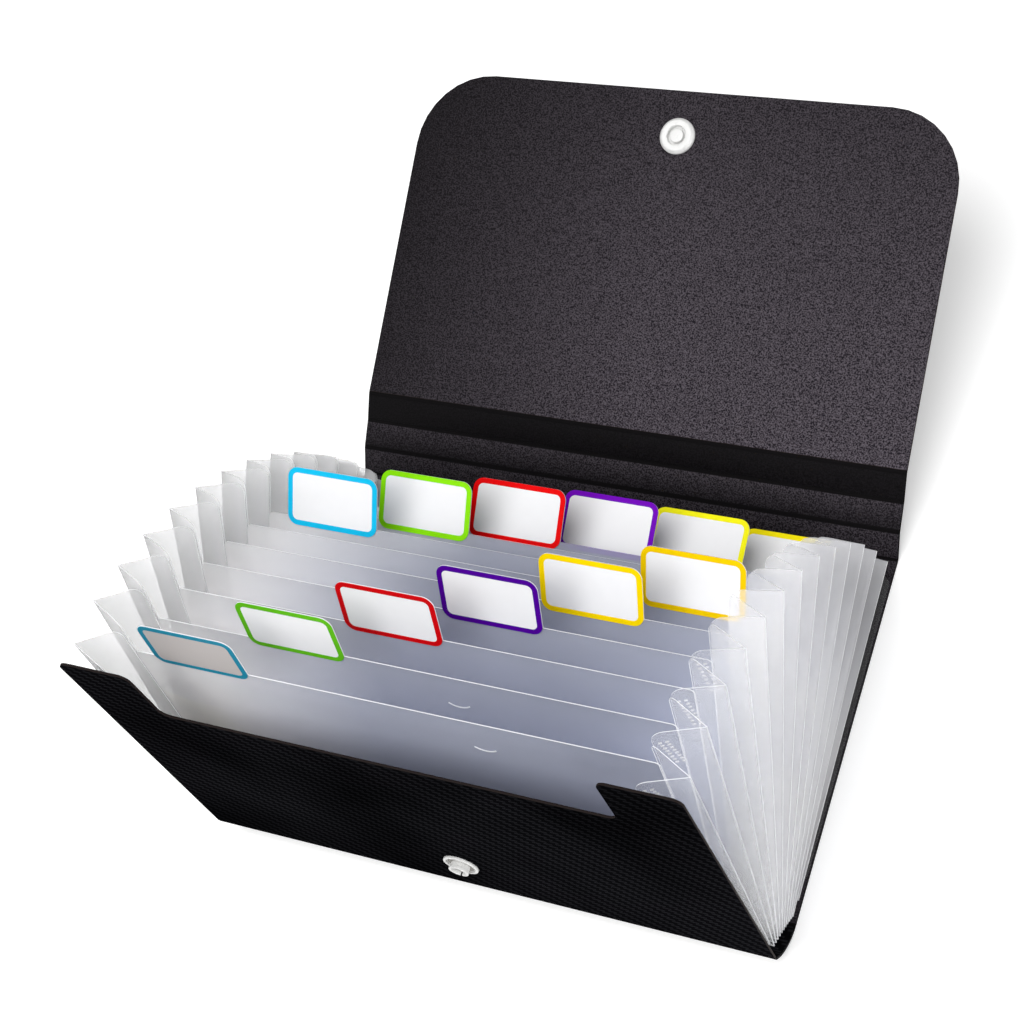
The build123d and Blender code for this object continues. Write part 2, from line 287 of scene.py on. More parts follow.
class FolderSnap(PropertyGroup):
    """Sizes and colour of the press snap."""
    socket_radius: length("Socket radius", 5.7, "Radius of the socket on the flap")
    socket_height: length("Socket height", 2.0, "Height of the socket")
    ring_inner: length("Ring inner", 2.2, "Inner radius of the socket's ring groove")
    ring_outer: length("Ring outer", 3.1, "Outer radius of the socket's ring groove")
    ring_depth: length("Ring depth", 1.7, "Depth of the socket's ring groove")
    boss_drop: length("Boss drop", 0.4, "How far the socket's middle lies below its rim")
    cap_radius: length("Cap radius", 6.0, "Radius of the caps on the far sides")
    cap_height: length("Cap height", 0.9, "Height of the flap's cap")
    front_cap_height: length("Front cap height", 0.45, "Height of the front panel's cap")
    flange_radius: length("Flange radius", 5.3, "Radius of the stud's flange")
    flange_height: length("Flange height", 0.85, "Height of the stud's flange")
    flange_rim: length("Flange rim", 0.9, "Width of the raised rim around the stud's flange")
    flange_floor: length("Flange floor", 0.3, "Height of the flange inside its rim")
    post_radius: length("Post radius", 3.0, "Radius of the stud's head")
    post_neck: length("Post neck", 2.8, "Radius of the stud's neck")
    post_hollow: length("Post hollow", 2.3, "Radius of the hole in the stud's head")
    post_height: length("Post height", 2.6, "Height of the stud above the panel")
    post_slot: length("Post slot", 0.7, "Width of the slot in the stud's head")
    rounding: length("Rounding", 0.25, "Rounding of the snap's edges")
    steps: count("Steps", 48, "Facets around the snap", least=12)
    plastic: tint("Plastic", (0.72, 0.72, 0.71), "Colour of the snap")
    # Painted shade in the stud's recesses
    recess: tint("Recess", (0.26, 0.25, 0.23), "Colour in the stud's recesses")


class FolderStage(PropertyGroup):
    """Floor and light."""
    floor: tint("Floor", (0.92, 0.92, 0.92), "Colour of the floor")
    floor_lift: factor("Floor lift", 0.3, "How much the floor is lightened where it is seen")
    fade_start: length("Fade start", 300.0, "Distance at which the floor begins to fade to white")
    fade_end: length("Fade end", 1200.0, "Distance at which the floor is as white as the surround")
    world: factor("Surround", 0.3, "Strength of the even light around the folder")
    key_power: power("Key light", 12.0, "Power of the overhead soft light")
    fill_power: power("Right light", 7.0, "Power of the soft light at the right")
    left_power: power("Left light", 5.0, "Power of the soft light at the left")


def direction(angle):
    """Unit vector turned up from the table by an angle."""
    return Vector((0, cos(angle), sin(angle)))


def leaf_matrix(origin, angle):
    """Places a sheet: its x runs across the folder, its y away from the crease, its z off its face."""
    return Matrix.Translation(origin) @ Matrix.Rotation(angle, 4, "X")


def fan_matrix(number):
    """Places a sheet of the fan on its pivot line; 0 is the front panel and POCKETS is the back."""
    angle = bpy.context.scene.folder_cover.front_angle * (POCKETS - number) / POCKETS
    return leaf_matrix(FIRST_PIVOT + PIVOT_STEP * (number - 1), angle)


def spine_radius():
    """Radius of the bow of the bottom spine."""
    bulge = bpy.context.scene.folder_cover.spine_bulge
    return (SPINE.length ** 2 / 4 + bulge ** 2) / (2 * bulge)


def centre_of(node):
    """Middle of a node's box."""
    low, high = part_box(node)
    return (low + high) / 2


def label_span(number):
    """Lower and upper end of a label along its divider, from the pivot line."""
    into_leaf = fan_matrix(number).inverted()
    heights = [(into_leaf @ vert.co).y for vert in frame["nodes"][f"label_{number:02d}"].data.vertices]
    return min(heights), max(heights)


def bevel(bm, items, affect, offset, segments, clamp=False):
    """Rounds edges or corners."""
    bmesh.ops.bevel(bm, geom=items, affect=affect, offset=offset, segments=segments, profile=0.5,
                    material=-1, clamp_overlap=clamp)


def spin(bm, items, centre, axis, angle, steps, whole=False):
    """Sweeps corners, edges and faces about an axis, and joins the ends of a whole turn."""
    bmesh.ops.spin(bm, geom=items, cent=centre, axis=axis, dvec=(0, 0, 0), angle=angle, steps=steps,
                   use_merge=whole, use_duplicate=False)


def turn_outwards(bm):
    """Turns all faces outwards."""
    bmesh.ops.recalc_face_normals(bm, faces=bm.faces[:])


def paint(made, slot):
    """Gives the faces of a new solid their material slot."""
    for face in {face for vert in made["verts"] for face in vert.link_faces}:
        face.material_index = slot


def rounded_sheet(corners, thickness, edge=0):
    """A flat sheet through corners of x, y and radius, with rounded cut edges."""
    bm = bmesh.new()
    verts = [bm.verts.new((x, y, -thickness / 2)) for x, y, _ in corners]
    bm.faces.new(verts)
    for radius in sorted({corner[2] for corner in corners if corner[2]}):
        turned = [vert for vert, corner in zip(verts, corners) if corner[2] == radius]
        bevel(bm, turned, "VERTICES", radius, segments=8)
    grown = bmesh.ops.extrude_face_region(bm, geom=bm.faces[:])
    raised = [item for item in grown["geom"] if isinstance(item, bmesh.types.BMVert)]
    bmesh.ops.translate(bm, verts=raised, vec=(0, 0, thickness))
    turn_outwards(bm)
    if edge:
        rim = [item for item in bm.edges if abs(item.verts[0].co.z - item.verts[1].co.z) < TINY]
        bevel(bm, rim, "EDGES", edge, segments=2)
    bm.normal_update()
    for face in bm.faces:
        face.smooth = abs(face.normal.z) < LEVEL
    return bm


def lay_pattern(bm):
    """Gives a sheet a pattern map in millimetres along its own x and y."""
    layer = bm.loops.layers.uv.new("pattern")
    for face in bm.faces:
        for loop in face.loops:
            loop[layer].uv = (loop.vert.co.x / MM, loop.vert.co.y / MM)


def add_piece(bm, name, materials, matrix=Matrix.Identity(4)):
    """Places a finished mesh and makes it an object at the origin."""
    bmesh.ops.transform(bm, matrix=matrix, verts=bm.verts[:])
    mesh = bpy.data.meshes.new(name)
    bm.to_mesh(mesh)
    bm.free()
    for material in materials:
        mesh.materials.append(material)
    mesh.set_sharp_from_angle(angle=SHARP)
    piece = bpy.data.objects.new(name, mesh)
    bpy.context.scene.collection.objects.link(piece)
    return piece


def mount(piece, body, node):
    """Lets a piece ride on a body in place of the node that it stands for."""
    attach(piece, body)
    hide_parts(node)


def new_material(name, colour, roughness, specular):
    """A material with one shader, ready for its pattern."""
    material = bpy.data.materials.new(name)
    material.use_nodes = True
    shader = material.node_tree.nodes["Principled BSDF"]
    shader.inputs["Base Color"].default_value = (*colour, 1)
    shader.inputs["Roughness"].default_value = roughness
    shader.inputs["Specular IOR Level"].default_value = specular
    return material, material.node_tree, shader


def add_math(tree, operation, first, second=None):
    """A math node on one or two values or sockets, giving its result socket."""
    node = tree.nodes.new("ShaderNodeMath")
    node.operation = operation
    for socket, value in zip(node.inputs, (first, second)):
        if isinstance(value, bpy.types.NodeSocket):
            tree.links.new(value, socket)
        elif value is not None:
            socket.default_value = value
    return node.outputs[0]


def add_noise(tree, scale, detail=2.0):
    """A noise texture's value socket on Object coordinates."""
    place = tree.nodes.new("ShaderNodeTexCoord")
    noise = tree.nodes.new("ShaderNodeTexNoise")
    noise.inputs["Scale"].default_value = scale
    noise.inputs["Detail"].default_value = detail
    tree.links.new(place.outputs["Object"], noise.inputs["Vector"])
    return noise.outputs["Fac"]


def add_range(tree, value, low, high, start=NOISE_LOW, end=NOISE_HIGH):
    """Maps a value from its own range onto another one, without going past its ends."""
    spread = tree.nodes.new("ShaderNodeMapRange")
    tree.links.new(value, spread.inputs["Value"])
    for key, number in (("From Min", start), ("From Max", end), ("To Min", low), ("To Max", high)):
        spread.inputs[key].default_value = number
    return spread.outputs["Result"]


def add_ramp(tree, value, low, high, start=0.35, end=0.65):
    """A colour ramp between two colours over part of a value's range."""
    ramp = tree.nodes.new("ShaderNodeValToRGB")
    for element, colour, position in zip(ramp.color_ramp.elements, (low, high), (start, end)):
        element.position = position
        element.color = (*colour, 1)
    tree.links.new(value, ramp.inputs["Fac"])
    return ramp.outputs["Color"]


def add_shade(tree, colour, amount):
    """A colour made darker or lighter by an amount."""
    shade = tree.nodes.new("ShaderNodeVectorMath")
    shade.operation = "SCALE"
    tree.links.new(colour, shade.inputs[0])
    tree.links.new(amount, shade.inputs["Scale"])
    return shade.outputs["Vector"]


def add_bump(tree, shader, height, strength, distance):
    """Links a height to the shader's normal."""
    bump = tree.nodes.new("ShaderNodeBump")
    bump.inputs["Strength"].default_value = strength
    bump.inputs["Distance"].default_value = distance
    tree.links.new(height, bump.inputs["Height"])
    tree.links.new(bump.outputs["Normal"], shader.inputs["Normal"])


def pattern_axes(tree):
    """The two sockets of a sheet's pattern map, in millimetres."""
    pattern = tree.nodes.new("ShaderNodeUVMap")
    pattern.uv_map = "pattern"
    split = tree.nodes.new("ShaderNodeSeparateXYZ")
    tree.links.new(pattern.outputs["UV"], split.inputs["Vector"])
    return split.outputs["X"], split.outputs["Y"]


def twill_material(name, cover):
    """Black sheet with an embossed two-over-two twill, whose threads carry a painted highlight, brighter in
    broad patches of painted sheen, as the sheet itself has no specular.
    """
    repeat, passes, warp_share = 4.0, 2.0, 0.35
    material, tree, shader = new_material(name, cover.twill_dark, roughness=0.6, specular=0.0)
    across, along = [add_math(tree, "DIVIDE", axis, cover.twill_pitch / MM) for axis in pattern_axes(tree)]
    diagonal = add_math(tree, "ADD", add_math(tree, "FLOOR", across), add_math(tree, "FLOOR", along))
    over = add_math(tree, "LESS_THAN", add_math(tree, "FLOORED_MODULO", diagonal, repeat), passes)
    crowns = []
    for axis in (across, along):
        middle = add_math(tree, "SUBTRACT", add_math(tree, "FRACT", axis), 0.5)
        fall = add_math(tree, "POWER", add_math(tree, "MULTIPLY", middle, 2.0), 2.0)
        crowns.append(add_math(tree, "SUBTRACT", 1.0, fall))
    warp = add_math(tree, "MULTIPLY", crowns[0], over)
    weft = add_math(tree, "MULTIPLY", crowns[1], add_math(tree, "SUBTRACT", 1.0, over))
    height = add_math(tree, "ADD", weft, add_math(tree, "MULTIPLY", warp, warp_share))
    # Painted highlight: the raised threads get the paler colour, and a broad noise paints patches of sheen
    # over them
    thread = add_ramp(tree, height, cover.twill_dark, cover.twill_painted_highlight, start=0.3, end=1.0)
    painted_sheen = add_range(tree, add_noise(tree, scale=16), low=0.45, high=1.2, start=0.35, end=0.65)
    tree.links.new(add_shade(tree, thread, painted_sheen), shader.inputs["Base Color"])
    rough = add_range(tree, height, low=0.7, high=0.5, start=0.0, end=1.0)
    tree.links.new(rough, shader.inputs["Roughness"])
    add_bump(tree, shader, height, strength=0.6, distance=0.1 * MM)
    return material


def grain_material(name, cover, reach, near, far, left):
    """Charcoal sheet with a sand grain, with painted shade from the near to the far crease and towards the
    left.
    """
    material, tree, shader = new_material(name, cover.grain_dark, roughness=0.6, specular=0.05)
    across, along = pattern_axes(tree)
    fine = add_noise(tree, scale=2300, detail=1.0)
    speckle = add_ramp(tree, fine, cover.grain_dark, cover.grain_pale, start=0.38, end=0.64)
    # Painted shade: the grain's brightness runs from the near to the far crease and darkens towards the left
    # side
    run = add_range(tree, along, near, far, start=0.0, end=reach / MM)
    side = add_range(tree, across, left, 1.0, start=-WIDTH / 2 / MM, end=0.0)
    shaded = add_shade(tree, speckle, add_math(tree, "MULTIPLY", run, side))
    tree.links.new(shaded, shader.inputs["Base Color"])
    tree.links.new(add_range(tree, fine, low=0.5, high=0.75), shader.inputs["Roughness"])
    add_bump(tree, shader, fine, strength=0.5, distance=0.08 * MM)
    return material


def plain_material(name, colour, roughness, specular, scale, spread=0.06):
    """A sheet or moulding in one colour with a faint mottle."""
    material, tree, shader = new_material(name, colour, roughness, specular)
    mottle = add_noise(tree, scale)
    dark = tuple(value * (1 - spread) for value in colour)
    tree.links.new(add_ramp(tree, mottle, dark, colour), shader.inputs["Base Color"])
    rough = add_range(tree, mottle, roughness - spread, roughness + spread)
    tree.links.new(rough, shader.inputs["Roughness"])
    return material


def film_material(name, left, right, alpha, spread=0.0, far=0.0, foot=1.0, start=0.0, end=1.0):
    """Frosted film with painted light that runs it from a left to a right colour and makes it paler towards
    its foot, with a faint cloudiness.
    """
    material, tree, shader = new_material(name, right, roughness=0.42, specular=0.25)
    shader.inputs["Alpha"].default_value = alpha
    if spread:
        shader.inputs["Subsurface Weight"].default_value = 1.0
        shader.inputs["Subsurface Radius"].default_value = (1, 1, 1)
        shader.inputs["Subsurface Scale"].default_value = spread
    place = tree.nodes.new("ShaderNodeTexCoord")
    split = tree.nodes.new("ShaderNodeSeparateXYZ")
    tree.links.new(place.outputs["Object"], split.inputs["Vector"])
    # Painted light: the colour runs from the left colour at the folder's left side to the right one
    side = add_range(tree, split.outputs["X"], low=0.0, high=1.0, start=-WIDTH / 2, end=far)
    colour = add_ramp(tree, side, left, right, start=0.1, end=0.9)
    cloud = add_range(tree, add_noise(tree, scale=45), low=0.97, high=1.03)
    _, along = pattern_axes(tree)
    # Painted light: the colour grows paler towards the foot
    lift = add_range(tree, along, foot, 1.0, start=start / MM, end=end / MM)
    shaded = add_shade(tree, colour, add_math(tree, "MULTIPLY", lift, cloud))
    capped = tree.nodes.new("ShaderNodeVectorMath")
    capped.operation = "MINIMUM"
    capped.inputs[1].default_value = FILM_LIMIT
    tree.links.new(shaded, capped.inputs[0])
    tree.links.new(capped.outputs["Vector"], shader.inputs["Base Color"])
    frost = add_noise(tree, scale=1800)
    tree.links.new(add_range(tree, frost, low=0.34, high=0.52), shader.inputs["Roughness"])
    add_bump(tree, shader, frost, strength=0.1, distance=0.03 * MM)
    return material


def shared(name, make, *values, **options):
    """A material by its name, made when it is first asked for."""
    return bpy.data.materials.get(name) or make(name, *values, **options)


def score_face(cover):
    """Material of the scored creases."""
    return shared("cover_score", plain_material, cover.score_colour, roughness=0.6, specular=0.02, scale=300)


def cover_faces(cover, grain):
    """Materials of a panel of the cover: its inside, its outside, its cut edge and its scored ends."""
    edge = shared("cover_edge", plain_material, cover.edge_colour, roughness=0.6, specular=0.05, scale=300)
    return [grain, shared("cover_twill", twill_material, cover), edge, score_face(cover)]


def divider_faces(insert):
    """Materials of a divider: its edge and its face."""
    face = shared("film_divider", film_material, insert.film_pale, insert.film_deep, insert.film_alpha,
                  foot=insert.foot_painted_light, start=insert.foot_start, end=insert.divider_height)
    return [film_edge(insert), face]


def film_edge(insert):
    """Material of the film's cut edges and folds, with their painted highlight."""
    return shared("film_edge", film_material, insert.film_edge, insert.film_edge, insert.edge_alpha)


def pleat_faces(insert, pocket):
    """Materials of a pocket's pleats: their edge, left side, right side and weld marks."""
    spread = insert.film_spread
    # The left pleats run from their own colour at the outer folds to painted light at the inner folds
    left = shared("film_left", film_material, insert.left_film, insert.left_inner_painted_light, insert.left_alpha, spread,
                  far=insert.pleat_depth - WIDTH / 2)
    weld = shared("film_weld", film_material, insert.film_edge, insert.film_edge, insert.weld_alpha, spread)
    name, colour, alpha, lift = "film_right", insert.right_film, insert.right_alpha, 1.0
    # The right pleats at the back take the darker copy of the film, painted shade
    if pocket >= insert.rear_start:
        name, colour, alpha, lift = "film_rear", insert.rear_film, insert.rear_alpha, insert.rear_lift
    if pocket >= insert.last_start:
        name, alpha = "film_last", insert.last_alpha
    right = shared(name, film_material, colour, colour, alpha, spread, foot=lift, end=insert.rear_fade)
    return [film_edge(insert), left, right, weld]


class FOLDER_OT_cover(Operator):
    """Build the cover's seven panels from one bevelled sheet each"""
    bl_idname = "folder.cover"
    bl_label = "Cover"

    def oblong(self, cover, reach, corner=0):
        """Corners of a panel as wide as the folder, with its far corners rounded."""
        half, gap = WIDTH / 2, cover.crease_half
        return [(-half, gap, 0), (half, gap, 0), (half, reach, corner), (-half, reach, corner)]

    def panel(self, cover, name, node, body, corners, place, inside, grain, rim=RIM, welds=False):
        """One flat panel; inside is the side along its z that carries the grain."""
        bm = rounded_sheet(corners, SHEET, cover.edge)
        for face in bm.faces:
            side = INSIDE if face.normal.z * inside > 0 else OUTSIDE
            face.material_index = side if abs(face.normal.z) > FLAT else rim
        if welds:
            self.welds(bm, cover, max(corner[1] for corner in corners))
        lay_pattern(bm)
        piece = add_piece(bm, name, cover_faces(cover, grain), place)
        mount(piece, body, node)

    def welds(self, bm, cover, reach):
        """Rows of weld dots along the back panel's sides."""
        foot, crown, rise = cover.weld_radius, cover.weld_radius * 0.7, cover.weld_radius * 0.4
        for side in (-1, 1):
            for row in range(1, int(reach / cover.weld_pitch)):
                place = (side * (WIDTH / 2 - cover.weld_inset), row * cover.weld_pitch, SHEET / 2)
                made = bmesh.ops.create_cone(bm, cap_ends=True, segments=16, radius1=foot, radius2=crown,
                                             depth=rise, matrix=Matrix.Translation(place))
                paint(made, OUTSIDE)

    def spine(self, cover):
        """The bowed bottom, spun about its own centre."""
        radius = spine_radius()
        inward = direction(SPINE_ANGLE - pi / 2)
        centre = (BOTTOM_CREASE + FRONT_CREASE) / 2 + inward * (radius - cover.spine_bulge)
        half = asin(SPINE.length / 2 / radius) - cover.crease_half / radius
        spoke = direction(SPINE_ANGLE + pi / 2 - half)
        bm = bmesh.new()
        corners = []
        for side, reach in ((-1, -SHEET / 2), (1, -SHEET / 2), (1, SHEET / 2), (-1, SHEET / 2)):
            point = centre + spoke * (radius + reach)
            corners.append(bm.verts.new((side * WIDTH / 2, point.y, point.z)))
        start = bm.faces.new(corners)
        spin(bm, [*corners, *start.edges, start], centre, (1, 0, 0), 2 * half, steps=16)
        turn_outwards(bm)
        layer = bm.loops.layers.uv.new("pattern")
        for face in bm.faces:
            face.smooth = True
            face.material_index = SCORE if abs(face.normal.x) > FLAT else OUTSIDE
            for loop in face.loops:
                around = loop.vert.co - centre
                run = (atan2(around.z, around.y) % (2 * pi)) * radius
                loop[layer].uv = (loop.vert.co.x / MM, run / MM)
        grain = bpy.data.materials["grain_back"]
        mount(add_piece(bm, "cover_spine", cover_faces(cover, grain)), "spine", "bottom_spine")

    def execute(self, context):
        cover = context.scene.folder_cover
        half, gap = WIDTH / 2, cover.crease_half
        reach = (STRIP_CREASES[0] - BOTTOM_CREASE).length
        grain = grain_material("grain_back", cover, reach, *BACK_PAINTED_SHADE)
        corners = self.oblong(cover, reach - gap)
        place = leaf_matrix(BOTTOM_CREASE, 0)
        self.panel(cover, "cover_back", "back_panel", "back", corners, place, 1, grain, rim=SCORE, welds=True)
        ear, rounding = half - cover.ear_width, cover.ear_corner
        top, notch = cover.front_height, cover.front_height - cover.cutout_depth
        corners = [(-half, gap, 0), (half, gap, 0), (half, top, rounding), (ear, top, rounding),
                   (ear, notch, rounding), (-ear, notch, rounding), (-ear, top, rounding),
                   (-half, top, rounding)]
        place = leaf_matrix(FRONT_CREASE, cover.front_angle)
        self.panel(cover, "cover_front", "front_panel", "front", corners, place, -1, grain)
        for body, near, far, shades in zip(STRIPS, STRIP_CREASES, STRIP_CREASES[1:], STRIP_PAINTED_SHADES):
            run = far - near
            grain = grain_material(f"grain_{body}", cover, run.length, *shades)
            corners = self.oblong(cover, run.length - gap)
            place = leaf_matrix(near, atan2(run.z, run.y))
            self.panel(cover, f"cover_{body}", f"top_{body}", body, corners, place, 1, grain, rim=SCORE)
        _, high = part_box("flap")
        rise = SHEET / 2 * sin(cover.flap_angle)
        reach = (high.y - FLAP_CREASE.y - rise) / cos(cover.flap_angle)
        grain = grain_material("grain_flap", cover, reach, *FLAP_PAINTED_SHADE)
        corners = self.oblong(cover, reach, cover.flap_corner)
        place = leaf_matrix(FLAP_CREASE, cover.flap_angle)
        self.panel(cover, "cover_flap", "flap", "flap", corners, place, 1, grain)
        self.spine(cover)
        return {"FINISHED"}


class FOLDER_OT_creases(Operator):
    """Build the thin scored lines that join the cover's panels"""
    bl_idname = "folder.creases"
    bl_label = "Creases"

    def web(self, cover, name, bodies, point, before, after):
        """A thin strip through a crease, from one panel's end to the next one's."""
        lap, rounding = cover.crease_half + cover.edge * 2, cover.crease_half * 0.7
        bm = bmesh.new()
        rows = [point - direction(before) * lap, point, point + direction(after) * lap]
        ends = [[bm.verts.new((side * WIDTH / 2, row.y, row.z)) for side in (-1, 1)] for row in rows]
        for low, high in zip(ends, ends[1:]):
            bm.faces.new((low[0], low[1], high[1], high[0]))
        fold = [bm.edges.get(ends[1])]
        bevel(bm, fold, "EDGES", rounding, segments=6)
        upward = direction((before + after) / 2 + pi / 2)
        bmesh.ops.translate(bm, verts=bm.verts[:], vec=-upward * cover.crease_sheet / 2)
        turn_outwards(bm)
        if sum(face.normal.dot(upward) for face in bm.faces) > 0:
            bmesh.ops.reverse_faces(bm, faces=bm.faces[:])
        bmesh.ops.solidify(bm, geom=bm.faces[:], thickness=cover.crease_sheet)
        turn_outwards(bm)
        for face in bm.faces:
            face.smooth = abs(face.normal.x) < FLAT
        piece = add_piece(bm, name, [score_face(cover)])
        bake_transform(piece)

    def execute(self, context):
        cover = context.scene.folder_cover
        angles = [0]
        for near, far in zip(STRIP_CREASES, STRIP_CREASES[1:]):
            angles.append(atan2(far.z - near.z, far.y - near.y))
        angles.append(cover.flap_angle)
        bodies = ("back", *STRIPS, "flap")
        for pair, point, before, after in zip(zip(bodies, bodies[1:]), STRIP_CREASES, angles, angles[1:]):
            self.web(cover, f"crease_{pair[1]}", pair, point, before, after)
        bow = asin(SPINE.length / 2 / spine_radius())
        before, after = -pi, SPINE_ANGLE + bow - 2 * pi
        self.web(cover, "crease_bottom", ("back", "spine"), BOTTOM_CREASE, before, after)
        before, after = SPINE_ANGLE - bow, cover.front_angle
        self.web(cover, "crease_front", ("spine", "front"), FRONT_CREASE, before, after)
        return {"FINISHED"}


class FOLDER_OT_insert(Operator):
    """Give the insert's bottom and flanges their film"""
    bl_idname = "folder.insert"
    bl_label = "Insert bottom"

    def execute(self, context):
        insert = context.scene.folder_insert
        edge, _, film, _ = pleat_faces(insert, 1)
        for node, material in (("insert_bottom", edge), ("front_flanges", film), ("back_flanges", film)):
            for slot in frame["nodes"][node].material_slots:
                slot.link = "OBJECT"
                slot.material = material
        return {"FINISHED"}


class FOLDER_OT_dividers(Operator):
    """Build the twelve tabbed dividers of frosted film"""
    bl_idname = "folder.dividers"
    bl_label = "Dividers"

    def mark(self, bm, insert, place):
        """A raised arc that hangs down in the middle."""
        line, radius = insert.mark_line, insert.mark_width * MARK_BEND
        sweep = 2 * asin(insert.mark_width / 2 / radius)
        centre = place + Vector((0, radius, 0))
        face = insert.divider_sheet / 2
        start = -pi / 2 - sweep / 2
        corners = []
        for reach, rise in ((0, 0), (line, 0), (line, line / 2), (0, line / 2)):
            spoke = Vector((cos(start), sin(start), 0)) * (radius + reach)
            corners.append(bm.verts.new(centre + spoke + Vector((0, 0, face + rise))))
        old = set(bm.faces)
        profile = bm.faces.new(corners)
        spin(bm, [*corners, *profile.edges, profile], centre, (0, 0, 1), sweep, steps=12)
        bmesh.ops.recalc_face_normals(bm, faces=[item for item in bm.faces if item not in old])

    def execute(self, context):
        insert = context.scene.folder_insert
        tab_corner = context.scene.folder_labels.corner
        half = WIDTH / 2 - insert.pleat_depth
        shoulder, rounding = insert.divider_height, insert.divider_corner
        for number in range(1, POCKETS):
            low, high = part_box(f"label_{number:02d}")
            _, top = label_span(number)
            corners = [(-half, 0, 0), (half, 0, 0), (half, shoulder, rounding), (high.x, shoulder, 0),
                       (high.x, top, tab_corner), (low.x, top, tab_corner), (low.x, shoulder, 0),
                       (-half, shoulder, rounding)]
            bm = rounded_sheet(corners, insert.divider_sheet)
            for face in bm.faces:
                face.material_index = FACE if abs(face.normal.z) > FLAT else EDGE
            bmesh.ops.create_cone(bm, cap_ends=True, segments=10, radius1=insert.divider_bead,
                                  radius2=insert.divider_bead, depth=2 * half,
                                  matrix=Matrix.Rotation(pi / 2, 4, "Y"))
            if number in MARKS:
                self.mark(bm, insert, Vector(MARKS[number]) * MM)
            lay_pattern(bm)
            piece = add_piece(bm, f"film_divider_{number:02d}", divider_faces(insert), fan_matrix(number))
            mount(piece, f"divider_{number:02d}", f"divider_{number:02d}")
        return {"FINISHED"}


class FOLDER_OT_pleats(Operator):
    """Build the pleated sides, one V of film on each side of every pocket"""
    bl_idname = "folder.pleats"
    bl_label = "Pleats"

    def lines(self, insert, pocket, side):
        """The places of the inner fold in front, the outer fold and the inner fold behind."""
        inner = side * (WIDTH / 2 - insert.pleat_depth)
        outer = side * (WIDTH / 2 - insert.fold_edge)
        slack = insert.divider_sheet / 2 + insert.pleat_sheet
        panel_slack = SHEET / 2 + insert.panel_gap + insert.pleat_sheet
        front_slack = panel_slack if pocket == 1 else slack
        back_slack = panel_slack if pocket == POCKETS else slack
        return (fan_matrix(pocket - 1) @ Matrix.Translation((inner, 0, -front_slack)),
                fan_matrix(pocket - 0.5) @ Matrix.Translation((outer, 0, 0)),
                fan_matrix(pocket) @ Matrix.Translation((inner, 0, back_slack)))

    def height(self, insert, pocket):
        """Height of a pocket's inner folds."""
        return insert.first_height if pocket == 1 else insert.pleat_height

    def arms(self, bm, insert, pocket, side):
        """The two faces of one V, with rounded upper corners and a rounded outer fold."""
        low = insert.panel_start if pocket in (1, POCKETS) else insert.pleat_start
        high = self.height(insert, pocket)
        ends = []
        drop = insert.pleat_drop * (POCKETS - pocket) / (POCKETS - 1)
        for place, top in zip(self.lines(insert, pocket, side), (high, high - drop, high)):
            ends.append([bm.verts.new(place @ Vector((0, reach, 0))) for reach in (low, top)])
        for near, far in zip(ends, ends[1:]):
            bm.faces.new((near[0], near[1], far[1], far[0]))
        fold = bm.edges.get(ends[1])
        bevel(bm, [ends[0][1], ends[2][1]], "VERTICES", insert.pleat_corner, segments=6)
        bevel(bm, [fold], "EDGES", insert.fold_round, segments=2)

    def welds(self, bm, insert, pocket, side):
        """Two columns of weld marks on the front arm, beside its inner fold."""
        front, middle, _ = self.lines(insert, pocket, side)
        top = Vector((0, self.height(insert, pocket), 0))
        start = front @ top
        across = (middle @ top - start).normalized()
        down = -front.col[1].xyz
        normal = across.cross(down).normalized()
        turned = Matrix((across, normal.cross(across), normal)).transposed().to_4x4()
        bar = turned @ Matrix.Diagonal((insert.weld_length, insert.weld_width, insert.pleat_sheet * 2, 1))
        column_step = insert.weld_pitch * 1.3
        for row in range(insert.weld_rows):
            for column in (1, 2):
                aside = column_step * column + insert.weld_width * row
                below = insert.pleat_corner + insert.weld_pitch * (row + 1)
                place = start + across * aside + down * below
                made = bmesh.ops.create_cube(bm, size=1.0, matrix=Matrix.Translation(place) @ bar)
                paint(made, WELD)

    def execute(self, context):
        insert = context.scene.folder_insert
        narrow = 1.6 * insert.pleat_sheet
        for pocket in range(1, POCKETS + 1):
            bm = bmesh.new()
            for side in (-1, 1):
                self.arms(bm, insert, pocket, side)
            turn_outwards(bm)
            bmesh.ops.solidify(bm, geom=bm.faces[:], thickness=insert.pleat_sheet)
            turn_outwards(bm)
            for face in bm.faces:
                shortest = min(edge.calc_length() for edge in face.edges)
                side = FACE if face.calc_center_median().x < 0 else RIGHT
                face.material_index = EDGE if shortest < narrow else side
            for side in (-1, 1):
                self.welds(bm, insert, pocket, side)
            lay_pattern(bm)
            name = f"pleat_{pocket:02d}"
            piece = add_piece(bm, f"film_{name}", pleat_faces(insert, pocket))
            body = "front" if pocket == 1 else f"divider_{pocket - 1:02d}"
            mount(piece, body, name)
            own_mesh(piece)
        return {"FINISHED"}


